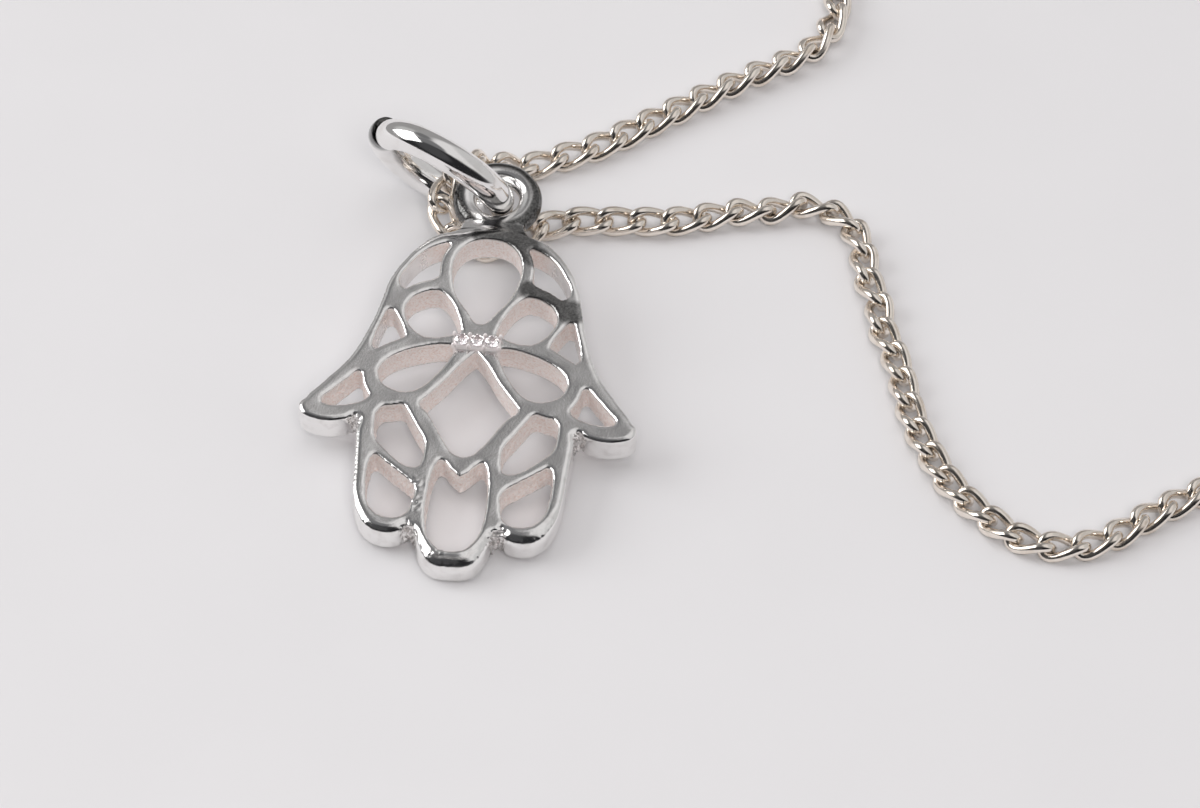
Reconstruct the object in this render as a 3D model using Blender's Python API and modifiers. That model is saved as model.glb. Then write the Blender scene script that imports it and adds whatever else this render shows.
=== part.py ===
"""Openwork hamsa pendant lying on its curb chain.

Units are metres, +Z is up. The model is laid out about the floor point under the flower
at the palm's centre, and at the end it is moved so that its origin is the middle of the
bottom of its bounding box.
"""

import math

import bmesh
import bpy
from mathutils import Matrix, Vector

MM = 0.001

# Openwork hand
PLATE_WIDTH = 13.8 * MM
PLATE_LENGTH = 16.5 * MM
PLATE_THICKNESS = 1.4 * MM
EDGE_ROUND = 0.13 * MM
PLATE_TILT = math.radians(6.0)
PLATE_TURN = math.radians(-5.56)

# Fixed loop on the hand's top edge
LOOP_RADIUS = 1.38 * MM
LOOP_WIRE = 0.36 * MM
LOOP_RISE = 1.85 * MM
FOOT_THICKNESS = 0.9 * MM
FOOT_SPREAD = 3.3 * MM
FOOT_SINK = 0.45 * MM
FOOT_NECK_SHARE = 0.78

# Loose jump ring, measured on its wire's centreline
RING_RADIUS = 2.8 * MM
RING_WIRE = 0.65 * MM
RING_LEAN = math.radians(64.0)
RING_HEADING = math.radians(57.0)
RING_SIDE = 0.1 * MM

# Stones in a raised bar
STONE_COUNT = 3
STONE_DIAMETER = 0.58 * MM
STONE_GAP = 0.05 * MM
TABLE_SHARE = 0.56
CROWN_HEIGHT = 0.1 * MM
GIRDLE_HEIGHT = 0.03 * MM
PAVILION_DEPTH = 0.2 * MM
SEAT_FLOOR = 0.06 * MM
SEAT_CLEARANCE = 0.05 * MM
BAR_WIDTH = 0.78 * MM
BAR_RISE = 0.24 * MM
BAR_DEPTH = 0.6 * MM
BAR_END = 0.06 * MM
BAR_ROUND = 0.1 * MM
BEAD_RADIUS = 0.11 * MM
BEAD_RISE = 0.06 * MM

# Chain
CHAIN_WIDTH = 1.2 * MM
CHAIN_STEP = 9.5 * MM
CHAIN_BEND = math.radians(17.0)
CHAIN_SAMPLES = 24
JOINT_GAP = 0.3 * MM

# Clasp, a sprung ring with an eye at each end
CLASP_RADIUS = 2.3 * MM
CLASP_WIRE = 0.6 * MM
EYE_RADIUS = 0.75 * MM
EYE_WIRE = 0.3 * MM
EYE_SINK = 0.15 * MM
CLASP_PLACE = (120.5 * MM, 84.5 * MM)
CLASP_TURN = math.radians(-50.0)

# The hand's outline from its top to its middle fingertip. Each point is its distance
# across from the middle line as a share of half the width, and its distance along from
# the flower's centre as a share of the length. The left half is its mirror image.
OUTLINE = (
    (0.000, 0.358), (0.167, 0.352), (0.319, 0.326), (0.428, 0.285), (0.507, 0.236),
    (0.565, 0.182), (0.609, 0.097), (0.659, 0.018), (0.732, -0.061), (0.848, -0.133),
    (0.957, -0.194), (0.997, -0.221), (0.971, -0.245), (0.899, -0.258), (0.812, -0.261),
    (0.717, -0.252), (0.645, -0.239), (0.638, -0.279), (0.623, -0.376), (0.609, -0.455),
    (0.572, -0.515), (0.507, -0.552), (0.413, -0.567), (0.319, -0.561), (0.249, -0.542),
    (0.217, -0.573), (0.174, -0.615), (0.101, -0.638), (0.000, -0.642),
)

# Openings on the middle line, top to bottom, in the same shares
MIDDLE_OPENINGS = {
    "top petal": (
        (0.000, 0.322), (0.091, 0.315), (0.164, 0.291), (0.203, 0.248), (0.200, 0.203),
        (0.157, 0.142), (0.072, 0.091), (0.032, 0.068), (0.000, 0.062),
    ),
    "kite": (
        (0.000, -0.020), (0.065, -0.052), (0.162, -0.113), (0.246, -0.158),
        (0.290, -0.181), (0.283, -0.197), (0.246, -0.209), (0.204, -0.233),
        (0.109, -0.300), (0.051, -0.327), (0.000, -0.334),
    ),
    "middle finger": (
        (0.000, -0.393), (0.058, -0.371), (0.104, -0.349), (0.130, -0.345),
        (0.152, -0.367), (0.174, -0.436), (0.172, -0.509), (0.138, -0.570),
        (0.080, -0.601), (0.000, -0.608),
    ),
}

# Openings beside the middle line, in the same shares, each with its mirror image
SIDE_OPENINGS = {
    "upper petal": (
        (0.101, 0.034), (0.135, 0.080), (0.210, 0.136), (0.265, 0.155), (0.333, 0.150),
        (0.417, 0.130), (0.452, 0.099), (0.442, 0.067), (0.384, 0.030), (0.319, 0.011),
        (0.232, 0.013),
    ),
    "shoulder": (
        (0.249, 0.304), (0.319, 0.291), (0.399, 0.265), (0.467, 0.223), (0.510, 0.182),
        (0.500, 0.158), (0.464, 0.153), (0.391, 0.173), (0.312, 0.188), (0.278, 0.200),
        (0.280, 0.239), (0.261, 0.273), (0.235, 0.295),
    ),
    "side triangle": (
        (0.525, 0.087), (0.557, 0.085), (0.580, 0.052), (0.606, 0.012), (0.620, -0.024),
        (0.597, -0.038), (0.522, -0.017), (0.432, 0.007), (0.446, 0.027), (0.478, 0.055),
    ),
    "lower petal": (
        (0.120, -0.021), (0.138, -0.007), (0.188, -0.006), (0.319, -0.018),
        (0.449, -0.042), (0.536, -0.073), (0.562, -0.100), (0.536, -0.130),
        (0.471, -0.150), (0.391, -0.156), (0.312, -0.144), (0.210, -0.094),
    ),
    "thumb": (
        (0.594, -0.176), (0.635, -0.145), (0.655, -0.110), (0.684, -0.106),
        (0.732, -0.130), (0.797, -0.161), (0.870, -0.195), (0.862, -0.211),
        (0.797, -0.213), (0.696, -0.206), (0.616, -0.189),
    ),
    "palm": (
        (0.377, -0.196), (0.406, -0.194), (0.449, -0.199), (0.507, -0.203),
        (0.539, -0.224), (0.536, -0.267), (0.525, -0.294), (0.435, -0.336),
        (0.342, -0.368), (0.283, -0.376), (0.243, -0.370), (0.229, -0.339),
        (0.235, -0.297), (0.297, -0.252),
    ),
    "outer finger": (
        (0.507, -0.345), (0.533, -0.355), (0.542, -0.388), (0.536, -0.448),
        (0.507, -0.494), (0.457, -0.518), (0.384, -0.525), (0.319, -0.520),
        (0.275, -0.503), (0.258, -0.470), (0.255, -0.436), (0.272, -0.421),
        (0.333, -0.400), (0.420, -0.373),
    ),
}

# The chain's route in millimetres from the floor point under the flower: from the
# clasp round the back to the jump ring, through it, and back round the front. A point
# with no height lies on the floor.
CHAIN_ROUTE = (
    (113.5, 92.3), (101, 99.5), (83, 103.5), (61, 100.5), (41.5, 89.5), (26.5, 71),
    (18.5, 50), (15.7, 32), (15.3, 21.3), (15.15, 19.9), (14.6, 18.75), (13.5, 17.9),
    (11.9, 17.0), (10.16, 16.0), (8.44, 14.95), (6.72, 13.85), (5.02, 12.8),
    (3.32, 12.05), (2.0, 11.55, 0.62), (1.05, 11.2, 0.85), (0.4, 10.85, 1.42), (-0.2, 10.48, 2.03),
    (-0.78, 9.95, 2.28), (-1.24, 9.35, 2.1), (-1.45, 8.75, 1.55), (-1.4, 8.1, 0.95),
    (-1.05, 7.55, 0.66), (-0.35, 7.22), (0.6, 7.15), (1.6, 7.4), (2.5, 7.85),
    (3.6, 8.2), (5.02, 8.37), (6.7, 8.43), (8.38, 8.54), (10.07, 8.82), (11.75, 9.05),
    (13.3, 9.3), (14.6, 9.3), (15.45, 8.6), (15.8, 7.4), (16.11, 5.69), (16.48, 4.03),
    (16.76, 2.39), (17.2, 0.76), (17.51, -0.86), (17.87, -2.46), (18.42, -4.05),
    (19.17, -5.62), (20.13, -6.92), (21.48, -8.21), (22.9, -9.05), (24.24, -9.13),
    (25.48, -8.47), (27.15, -7.44), (29.24, -6.25), (38, -3.5), (53, -5.5), (70, -8),
    (88, -6.5), (106, 1), (121, 15), (130, 31.5), (133, 48), (131.6, 63), (127.6, 75.2),
)


def clear_scene():
    """Remove everything that the file holds."""
    for obj in list(bpy.data.objects):
        bpy.data.objects.remove(obj, do_unlink=True)


def make_collection(name):
    collection = bpy.data.collections.new(name)
    bpy.context.scene.collection.children.link(collection)
    return collection


def make_material(name, colour, roughness, metallic):
    material = bpy.data.materials.new(name)
    material.use_nodes = True
    shader = material.node_tree.nodes["Principled BSDF"]
    shader.inputs["Base Color"].default_value = (*colour, 1.0)
    shader.inputs["Roughness"].default_value = roughness
    shader.inputs["Metallic"].default_value = metallic
    return material


def object_from_bmesh(name, mesh_data, collection):
    mesh = bpy.data.meshes.new(name)
    mesh_data.to_mesh(mesh)
    mesh_data.free()
    obj = bpy.data.objects.new(name, mesh)
    collection.objects.link(obj)
    return obj


def finish_part(obj, material, smooth_angle=math.radians(40.0)):
    """Give a piece its material and shade its rounds smooth."""
    obj.data.materials.clear()
    obj.data.materials.append(material)
    obj.data.shade_smooth()
    obj.data.set_sharp_from_angle(angle=smooth_angle)


def join_tool(target, tool, operation):
    """Add or cut a helper solid with a Boolean, and keep the helper as a guide."""
    tool.hide_render = True
    tool.display_type = "WIRE"
    modifier = target.modifiers.new(f"{operation.lower()} {tool.name}", "BOOLEAN")
    modifier.operation = operation
    modifier.solver = "EXACT"
    modifier.object = tool


def solid_from_curve(curve_object, scale=1.0):
    """Turn a curve object into a welded mesh object and remove the curve."""
    bpy.context.view_layer.update()
    evaluated = curve_object.evaluated_get(bpy.context.evaluated_depsgraph_get())
    mesh = bpy.data.meshes.new_from_object(evaluated)
    mesh.name = curve_object.name
    welded = bmesh.new()
    welded.from_mesh(mesh)
    bmesh.ops.remove_doubles(welded, verts=welded.verts, dist=1e-5)
    bmesh.ops.recalc_face_normals(welded, faces=welded.faces)
    bmesh.ops.scale(welded, verts=welded.verts, vec=(scale, scale, scale))
    welded.to_mesh(mesh)
    welded.free()
    name = curve_object.name
    collection = curve_object.users_collection[0]
    matrix = curve_object.matrix_world.copy()
    bpy.data.objects.remove(curve_object, do_unlink=True)
    obj = bpy.data.objects.new(name, mesh)
    obj.matrix_world = matrix
    collection.objects.link(obj)
    return obj


def to_plate_mm(points):
    """Plate positions in millimetres of a table's shares."""
    half_width = PLATE_WIDTH / MM / 2
    length = PLATE_LENGTH / MM
    return [(across * half_width, along * length) for across, along in points]


def mirrored(points):
    return [(-across, along) for across, along in reversed(points)]


def add_smooth_contour(curve, points):
    """Add a closed spline that runs smoothly through the points."""
    spline = curve.splines.new("BEZIER")
    spline.bezier_points.add(len(points) - 1)
    for knot, (across, along) in zip(spline.bezier_points, points):
        knot.co = (across, along, 0.0)
    for knot in spline.bezier_points:
        knot.handle_left_type = "AUTO"
        knot.handle_right_type = "AUTO"
    spline.use_cyclic_u = True


def make_hand(name, collection):
    """The openwork hand, a flat outline drawn in millimetres and given its thickness."""
    curve = bpy.data.curves.new(name, "CURVE")
    curve.dimensions = "2D"
    curve.fill_mode = "BOTH"
    curve.resolution_u = 2
    round_mm = EDGE_ROUND / MM
    curve.extrude = PLATE_THICKNESS / MM / 2 - round_mm
    curve.bevel_depth = round_mm
    curve.bevel_resolution = 0
    curve.offset = -round_mm
    outlines = [OUTLINE, *MIDDLE_OPENINGS.values()]
    for table in outlines:
        right = to_plate_mm(table)
        add_smooth_contour(curve, right + mirrored(right)[1:-1])
    for table in SIDE_OPENINGS.values():
        right = to_plate_mm(table)
        add_smooth_contour(curve, right)
        add_smooth_contour(curve, mirrored(right))
    curve_object = bpy.data.objects.new(name, curve)
    collection.objects.link(curve_object)
    return solid_from_curve(curve_object, scale=MM)


def make_torus(name, radius, wire, collection, segments, sides):
    bpy.ops.mesh.primitive_torus_add(
        major_radius=radius, minor_radius=wire, major_segments=segments, minor_segments=sides
    )
    obj = bpy.context.active_object
    obj.name = name
    for owner in list(obj.users_collection):
        owner.objects.unlink(obj)
    collection.objects.link(obj)
    return obj


def plate_top():
    """How far the hand's top edge lies from the flower's centre."""
    return OUTLINE[0][1] * PLATE_LENGTH


def loop_centre():
    return Vector((0.0, plate_top() + LOOP_RISE, 0.0))


def make_loop_foot(collection):
    """The tapered neck that joins the loop to the hand's top edge."""
    top = plate_top()
    reach = loop_centre().y - LOOP_RADIUS + LOOP_WIRE / 2
    narrow = LOOP_RADIUS * FOOT_NECK_SHARE
    base = top - FOOT_SINK
    foot = bmesh.new()
    corners = [
        (-FOOT_SPREAD / 2, base), (FOOT_SPREAD / 2, base), (narrow, reach), (-narrow, reach)
    ]
    verts = [foot.verts.new((x, y, -FOOT_THICKNESS / 2)) for x, y in corners]
    face = foot.faces.new(verts)
    top_faces = bmesh.ops.extrude_face_region(foot, geom=[face])["geom"]
    raised = [item for item in top_faces if isinstance(item, bmesh.types.BMVert)]
    bmesh.ops.translate(foot, verts=raised, vec=(0.0, 0.0, FOOT_THICKNESS))
    bmesh.ops.recalc_face_normals(foot, faces=foot.faces)
    return object_from_bmesh("loop foot", foot, collection)


def stone_pitch():
    return STONE_DIAMETER + STONE_GAP


def stone_offsets():
    """Positions of the stones' middles across the hand."""
    return [(index - (STONE_COUNT - 1) / 2) * stone_pitch() for index in range(STONE_COUNT)]


def bar_top():
    return PLATE_THICKNESS / 2 + BAR_RISE


def girdle_base():
    """Height of a stone's girdle, just clear of the bar."""
    return bar_top() + SEAT_CLEARANCE


def make_setting_bar(collection):
    """The raised bar that carries the row of stones."""
    bpy.ops.mesh.primitive_cube_add(size=1.0)
    bar = bpy.context.active_object
    bar.name = "setting bar"
    for owner in list(bar.users_collection):
        owner.objects.unlink(bar)
    collection.objects.link(bar)
    length = STONE_COUNT * stone_pitch() + 2 * BAR_END
    height = BAR_RISE + BAR_DEPTH
    middle = bar_top() - height / 2
    bar.data.transform(Matrix.Diagonal((length, BAR_WIDTH, height, 1.0)))
    bar.data.transform(Matrix.Translation((0.0, 0.0, middle)))
    bevel = bar.modifiers.new("rounded edges", "BEVEL")
    bevel.width = BAR_ROUND
    bevel.segments = 2
    return bar


def make_beads(collection):
    """Small beads of metal between and beside the stones, which hold them."""
    beads = bmesh.new()
    reach = STONE_DIAMETER / 2 + SEAT_CLEARANCE + BEAD_RADIUS
    side = math.sqrt(reach ** 2 - (stone_pitch() / 2) ** 2)
    for index in range(STONE_COUNT + 1):
        across = (index - STONE_COUNT / 2) * stone_pitch()
        for sign in (-1, 1):
            place = Matrix.Translation((across, sign * side, bar_top() + BEAD_RISE))
            bmesh.ops.create_uvsphere(
                beads, u_segments=8, v_segments=6, radius=BEAD_RADIUS, matrix=place
            )
    return object_from_bmesh("beads", beads, collection)


def make_seats(collection):
    """The tapered seats that the stones' pavilions sink into."""
    seats = bmesh.new()
    depth = PAVILION_DEPTH + SEAT_CLEARANCE
    for across in stone_offsets():
        place = Matrix.Translation((across, 0.0, girdle_base() - depth / 2))
        bmesh.ops.create_cone(
            seats, cap_ends=True, segments=16, radius1=SEAT_FLOOR,
            radius2=(STONE_DIAMETER + SEAT_CLEARANCE) / 2, depth=depth, matrix=place
        )
    return object_from_bmesh("seats", seats, collection)


def make_stone(name, collection):
    """A round stone with a table, a faceted crown, a girdle and a pavilion."""
    radius = STONE_DIAMETER / 2
    profile = (
        (0.0, GIRDLE_HEIGHT + CROWN_HEIGHT),
        (radius * TABLE_SHARE, GIRDLE_HEIGHT + CROWN_HEIGHT),
        (radius, GIRDLE_HEIGHT),
        (radius, 0.0),
        (0.0, -PAVILION_DEPTH),
    )
    stone = bmesh.new()
    verts = [stone.verts.new((x, 0.0, z)) for x, z in profile]
    for upper, lower in zip(verts, verts[1:]):
        stone.edges.new((upper, lower))
    obj = object_from_bmesh(name, stone, collection)
    screw = obj.modifiers.new("turned", "SCREW")
    screw.steps = 12
    screw.render_steps = 12
    screw.use_merge_vertices = True
    screw.merge_threshold = 1e-6
    screw.use_smooth_shade = False
    return obj


def plate_matrix(hand):
    """Where the hand lies: tilted, turned, with its lowest fingertip on the floor."""
    turned = Matrix.Rotation(PLATE_TILT, 4, "X") @ Matrix.Rotation(PLATE_TURN, 4, "Z")
    flower = turned @ Vector((0.0, 0.0, PLATE_THICKNESS / 2))
    lowest = min((turned @ vertex.co).z for vertex in hand.data.vertices)
    return Matrix.Translation((-flower.x, -flower.y, -lowest)) @ turned


def ring_matrix(plate):
    """Where the jump ring lies: on the floor, leaning, with its wire in the loop."""
    crossing = plate @ (loop_centre() + Vector((RING_SIDE, 0.0, 0.0)))
    level = Vector((math.sin(RING_HEADING), -math.cos(RING_HEADING), 0.0))
    rising = Vector((
        -math.cos(RING_LEAN) * math.cos(RING_HEADING),
        -math.cos(RING_LEAN) * math.sin(RING_HEADING),
        math.sin(RING_LEAN),
    ))
    climb = 1.0 + (RING_WIRE - crossing.z) / (RING_RADIUS * math.sin(RING_LEAN))
    angle = math.asin(max(-1.0, min(1.0, climb)))
    centre = crossing - RING_RADIUS * (math.cos(angle) * level - math.sin(angle) * rising)
    axes = Matrix((level, rising, level.cross(rising))).transposed().to_4x4()
    return Matrix.Translation(centre) @ axes


def spaced(points):
    """The knots' places along a route, by the square root of each distance."""
    places = [0.0]
    for start, end in zip(points, points[1:]):
        places.append(places[-1] + math.sqrt((end - start).length))
    return places


def span_point(knots, places, at):
    """A point of the smooth curve between the middle two of four knots."""
    first = [
        knots[i].lerp(knots[i + 1], (at - places[i]) / (places[i + 1] - places[i]))
        for i in range(3)
    ]
    second = [
        first[i].lerp(first[i + 1], (at - places[i]) / (places[i + 2] - places[i]))
        for i in range(2)
    ]
    return second[0].lerp(second[1], (at - places[1]) / (places[2] - places[1]))


def smooth_route(points):
    """Close points along a smooth curve through a route's points."""
    ends = [2 * points[0] - points[1], 2 * points[-1] - points[-2]]
    knots = [ends[0], *points, ends[1]]
    route = []
    for start in range(len(knots) - 3):
        four = knots[start:start + 4]
        places = spaced(four)
        for step in range(CHAIN_SAMPLES):
            at = places[1] + (places[2] - places[1]) * step / CHAIN_SAMPLES
            route.append(span_point(four, places, at))
    route.append(points[-1])
    return route


def thinned(route):
    """Keep a point where the route has turned by a set angle or run a set length."""
    kept = [route[0]]
    run = 0.0
    turned = 0.0
    for before, here, after in zip(route, route[1:], route[2:]):
        run += (here - before).length
        turned += (here - before).angle(after - here)
        if run > CHAIN_STEP or turned > CHAIN_BEND:
            kept.append(here)
            run = 0.0
            turned = 0.0
    kept.append(route[-1])
    return kept


def clasp_reach():
    """Distance from the clasp's middle to the outside of its eyes."""
    return CLASP_RADIUS + CLASP_WIRE - EYE_SINK + 2 * (EYE_RADIUS + EYE_WIRE)


def clasp_matrix():
    place = Vector((*CLASP_PLACE, CHAIN_WIDTH / 2))
    return Matrix.Translation(place) @ Matrix.Rotation(CLASP_TURN, 4, "Z")


def make_clasp(name, collection, tools):
    """The clasp's ring, with a small eye at each end for the chain."""
    clasp = make_torus(name, CLASP_RADIUS, CLASP_WIRE, collection, 32, 10)
    offset = clasp_reach() - EYE_RADIUS - EYE_WIRE
    for side, sign in (("left", -1), ("right", 1)):
        eye = make_torus(f"eye {side}", EYE_RADIUS, EYE_WIRE, tools, 14, 6)
        eye.location = (sign * offset, 0.0, 0.0)
        eye.parent = clasp
        join_tool(clasp, eye, "UNION")
    clasp.matrix_world = clasp_matrix()
    return clasp


def make_chain(name, collection):
    """The chain as a round strand from one end of the clasp, through the ring, to the other."""
    floor = CHAIN_WIDTH / 2
    clasp = clasp_matrix()
    end = clasp_reach() + JOINT_GAP
    points = [clasp @ Vector((-end, 0.0, 0.0))]
    for x, y, *height in CHAIN_ROUTE:
        z = height[0] * MM if height else floor
        points.append(Vector((x * MM, y * MM, max(z, floor))))
    points.append(clasp @ Vector((end, 0.0, 0.0)))
    strand = thinned(smooth_route(points))
    curve = bpy.data.curves.new(name, "CURVE")
    curve.dimensions = "3D"
    curve.bevel_depth = CHAIN_WIDTH / 2
    curve.bevel_resolution = 2
    curve.use_fill_caps = True
    spline = curve.splines.new("POLY")
    spline.points.add(len(strand) - 1)
    for point, place in zip(spline.points, strand):
        point.co = (place.x, place.y, max(place.z, floor), 1.0)
    chain = bpy.data.objects.new(name, curve)
    collection.objects.link(chain)
    return chain


def settle(parts):
    """Stand the origin at the middle of the bottom of the whole bounding box."""
    bpy.context.view_layer.update()
    graph = bpy.context.evaluated_depsgraph_get()
    corners = []
    for part in parts:
        evaluated = part.evaluated_get(graph)
        mesh = evaluated.to_mesh()
        corners.extend(evaluated.matrix_world @ vertex.co for vertex in mesh.vertices)
        evaluated.to_mesh_clear()
    low = Vector([min(corner[axis] for corner in corners) for axis in range(3)])
    high = Vector([max(corner[axis] for corner in corners) for axis in range(3)])
    shift = Vector((-(low.x + high.x) / 2, -(low.y + high.y) / 2, -low.z))
    base = bpy.data.objects.new("pendant origin", None)
    bpy.context.scene.collection.objects.link(base)
    for obj in list(bpy.data.objects):
        if obj != base and obj.parent is None:
            obj.parent = base
    base.location = shift


def main():
    clear_scene()
    parts = make_collection("hamsa_pendant")
    tools = make_collection("joined and cut away")
    silver = make_material("polished silver", (0.86, 0.84, 0.81), 0.18, 1.0)
    bright = make_material("bright silver", (0.9, 0.89, 0.87), 0.12, 1.0)
    chain_metal = make_material("chain silver", (0.87, 0.84, 0.8), 0.22, 1.0)
    crystal = make_material("clear stone", (0.95, 0.96, 0.98), 0.03, 0.0)

    hand = make_hand("hamsa_plate", parts)
    plate = plate_matrix(hand)
    loop = make_torus("top loop", LOOP_RADIUS, LOOP_WIRE, tools, 32, 12)
    loop.location = loop_centre()
    foot = make_loop_foot(tools)
    bar = make_setting_bar(tools)
    beads = make_beads(tools)
    seats = make_seats(tools)
    for tool in (loop, foot, bar, beads, seats):
        tool.parent = hand
        join_tool(hand, tool, "DIFFERENCE" if tool is seats else "UNION")
    hand.matrix_world = plate
    finish_part(hand, silver)
    made = [hand]

    for side, across in zip(("left", "middle", "right"), stone_offsets()):
        stone = make_stone(f"stone_{side}", parts)
        stone.matrix_world = plate @ Matrix.Translation((across, 0.0, girdle_base()))
        stone.data.materials.append(crystal)
        made.append(stone)

    ring = make_torus("jump_ring", RING_RADIUS, RING_WIRE, parts, 48, 12)
    ring.matrix_world = ring_matrix(plate)
    finish_part(ring, bright)

    clasp = make_clasp("clasp", parts, tools)
    finish_part(clasp, bright)

    chain = make_chain("chain", parts)
    chain.data.materials.append(chain_metal)
    made.extend((ring, clasp, chain))
    settle(made)


main()
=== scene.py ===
"""Openwork hamsa pendant lying on its curb chain, dressed for a close view."""

import math

import bmesh
import bpy
from mathutils import Matrix, Vector
from mathutils.kdtree import KDTree


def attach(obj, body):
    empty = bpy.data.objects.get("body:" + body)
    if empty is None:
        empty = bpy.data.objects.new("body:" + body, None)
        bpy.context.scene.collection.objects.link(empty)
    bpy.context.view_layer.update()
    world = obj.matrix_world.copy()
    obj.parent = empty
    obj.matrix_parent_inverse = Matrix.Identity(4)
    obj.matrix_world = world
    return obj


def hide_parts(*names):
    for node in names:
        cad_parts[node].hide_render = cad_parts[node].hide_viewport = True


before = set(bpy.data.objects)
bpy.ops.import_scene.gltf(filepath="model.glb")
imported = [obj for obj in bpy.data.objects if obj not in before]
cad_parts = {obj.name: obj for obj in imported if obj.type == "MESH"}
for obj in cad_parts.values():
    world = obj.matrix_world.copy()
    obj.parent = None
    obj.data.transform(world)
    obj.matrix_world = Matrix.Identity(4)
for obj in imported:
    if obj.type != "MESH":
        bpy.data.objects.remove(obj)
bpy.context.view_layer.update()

bl_info = {
    "name": "Hamsa Pendant",
    "version": (1, 0, 0),
    "blender": (4, 5, 0),
    "location": "3D View > Sidebar > Pendant",
    "description": "Models an openwork hamsa pendant on a curb chain",
    "category": "Add Mesh",
}

MM = 0.001

# Masks that the materials read, and how the cast skin's colour and pits differ
SKIN = "cast_skin"
# The second mask holds painted shade: dark reflections painted on the hand's face and loop,
# and shadow at the ring's seam and far end
SHADE_MASK = "painted_shade"
SKIN_SHADE = (0.86, 0.74, 0.69)
PIT_DEPTH = 6e-5

# Where the plate, the jump ring and the clasp lie in the source. The ring is then moved
# a little from there.
SHIFT = Vector((-63.175, -46.747, 0.0)) * MM
PLATE_PLACE = Matrix((
    (0.995295, 0.096888, 0.0, -0.063175),
    (-0.096357, 0.989843, -0.104529, -0.046673),
    (-0.010128, 0.104037, 0.994522, 0.001789),
    (0.0, 0.0, 0.0, 1.0),
))
RING_PLACE = Matrix((
    (0.838671, -0.238754, -0.489518, -0.064762),
    (-0.544639, -0.367649, -0.753792, -0.037754),
    (0.0, 0.898794, -0.438371, 0.003167),
    (0.0, 0.0, 0.0, 1.0),
))
CLASP_PLACE = Vector((57.325, 37.753, 0.6)) * MM
CLASP_TURN = math.radians(-50.0)

# The hand's outline from its top to its middle fingertip. Each point is its distance
# across from the middle line as a share of half the width, and its distance along from
# the flower's centre as a share of the length. The left half is its mirror image.
OUTLINE = (
    (0.000, 0.358), (0.167, 0.352), (0.319, 0.326), (0.428, 0.285), (0.507, 0.236),
    (0.565, 0.182), (0.609, 0.097), (0.659, 0.018), (0.732, -0.061), (0.848, -0.133),
    (0.957, -0.194), (0.997, -0.221), (0.971, -0.245), (0.899, -0.258), (0.812, -0.261),
    (0.717, -0.252), (0.645, -0.239), (0.638, -0.279), (0.623, -0.376), (0.609, -0.455),
    (0.572, -0.515), (0.507, -0.552), (0.413, -0.567), (0.319, -0.561), (0.249, -0.542),
    (0.217, -0.573), (0.174, -0.617), (0.101, -0.643), (0.000, -0.648),
)

# Openings on the middle line, top to bottom, in the same shares
MIDDLE_OPENINGS = {
    "top petal": (
        (0.000, 0.322), (0.091, 0.315), (0.164, 0.291), (0.203, 0.248), (0.200, 0.203),
        (0.157, 0.142), (0.072, 0.091), (0.032, 0.068), (0.000, 0.062),
    ),
    "kite": (
        (0.000, -0.020), (0.065, -0.052), (0.162, -0.113), (0.246, -0.158),
        (0.290, -0.181), (0.283, -0.197), (0.246, -0.209), (0.204, -0.233),
        (0.109, -0.300), (0.051, -0.327), (0.000, -0.334),
    ),
    "middle finger": (
        (0.000, -0.393), (0.058, -0.371), (0.104, -0.349), (0.130, -0.345),
        (0.152, -0.367), (0.174, -0.436), (0.172, -0.509), (0.138, -0.570),
        (0.080, -0.601), (0.000, -0.608),
    ),
}

# Openings beside the middle line, in the same shares, each with its mirror image
SIDE_OPENINGS = {
    "upper petal": (
        (0.101, 0.034), (0.135, 0.080), (0.210, 0.136), (0.265, 0.155), (0.333, 0.150),
        (0.417, 0.130), (0.452, 0.099), (0.442, 0.067), (0.384, 0.030), (0.319, 0.011),
        (0.232, 0.013),
    ),
    "shoulder": (
        (0.249, 0.304), (0.319, 0.291), (0.399, 0.265), (0.467, 0.223), (0.510, 0.182),
        (0.500, 0.158), (0.464, 0.153), (0.391, 0.173), (0.312, 0.188), (0.278, 0.200),
        (0.280, 0.239), (0.261, 0.273), (0.235, 0.295),
    ),
    "side triangle": (
        (0.525, 0.087), (0.557, 0.085), (0.580, 0.052), (0.606, 0.012), (0.620, -0.024),
        (0.597, -0.038), (0.522, -0.017), (0.432, 0.007), (0.446, 0.027), (0.478, 0.055),
    ),
    "lower petal": (
        (0.120, -0.021), (0.138, -0.007), (0.188, -0.006), (0.319, -0.018),
        (0.449, -0.042), (0.536, -0.073), (0.562, -0.100), (0.536, -0.130),
        (0.471, -0.150), (0.391, -0.156), (0.312, -0.144), (0.210, -0.094),
    ),
    "thumb": (
        (0.594, -0.176), (0.635, -0.145), (0.655, -0.110), (0.684, -0.106),
        (0.732, -0.130), (0.797, -0.161), (0.870, -0.195), (0.862, -0.211),
        (0.797, -0.213), (0.696, -0.206), (0.616, -0.189),
    ),
    "palm": (
        (0.377, -0.196), (0.406, -0.194), (0.449, -0.199), (0.507, -0.203),
        (0.539, -0.224), (0.536, -0.267), (0.525, -0.294), (0.435, -0.336),
        (0.342, -0.368), (0.283, -0.376), (0.243, -0.370), (0.229, -0.339),
        (0.235, -0.297), (0.297, -0.252),
    ),
    "outer finger": (
        (0.507, -0.345), (0.533, -0.355), (0.542, -0.388), (0.536, -0.448),
        (0.507, -0.494), (0.457, -0.518), (0.384, -0.525), (0.319, -0.520),
        (0.275, -0.503), (0.258, -0.470), (0.255, -0.436), (0.272, -0.421),
        (0.333, -0.400), (0.420, -0.373),
    ),
}

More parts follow.
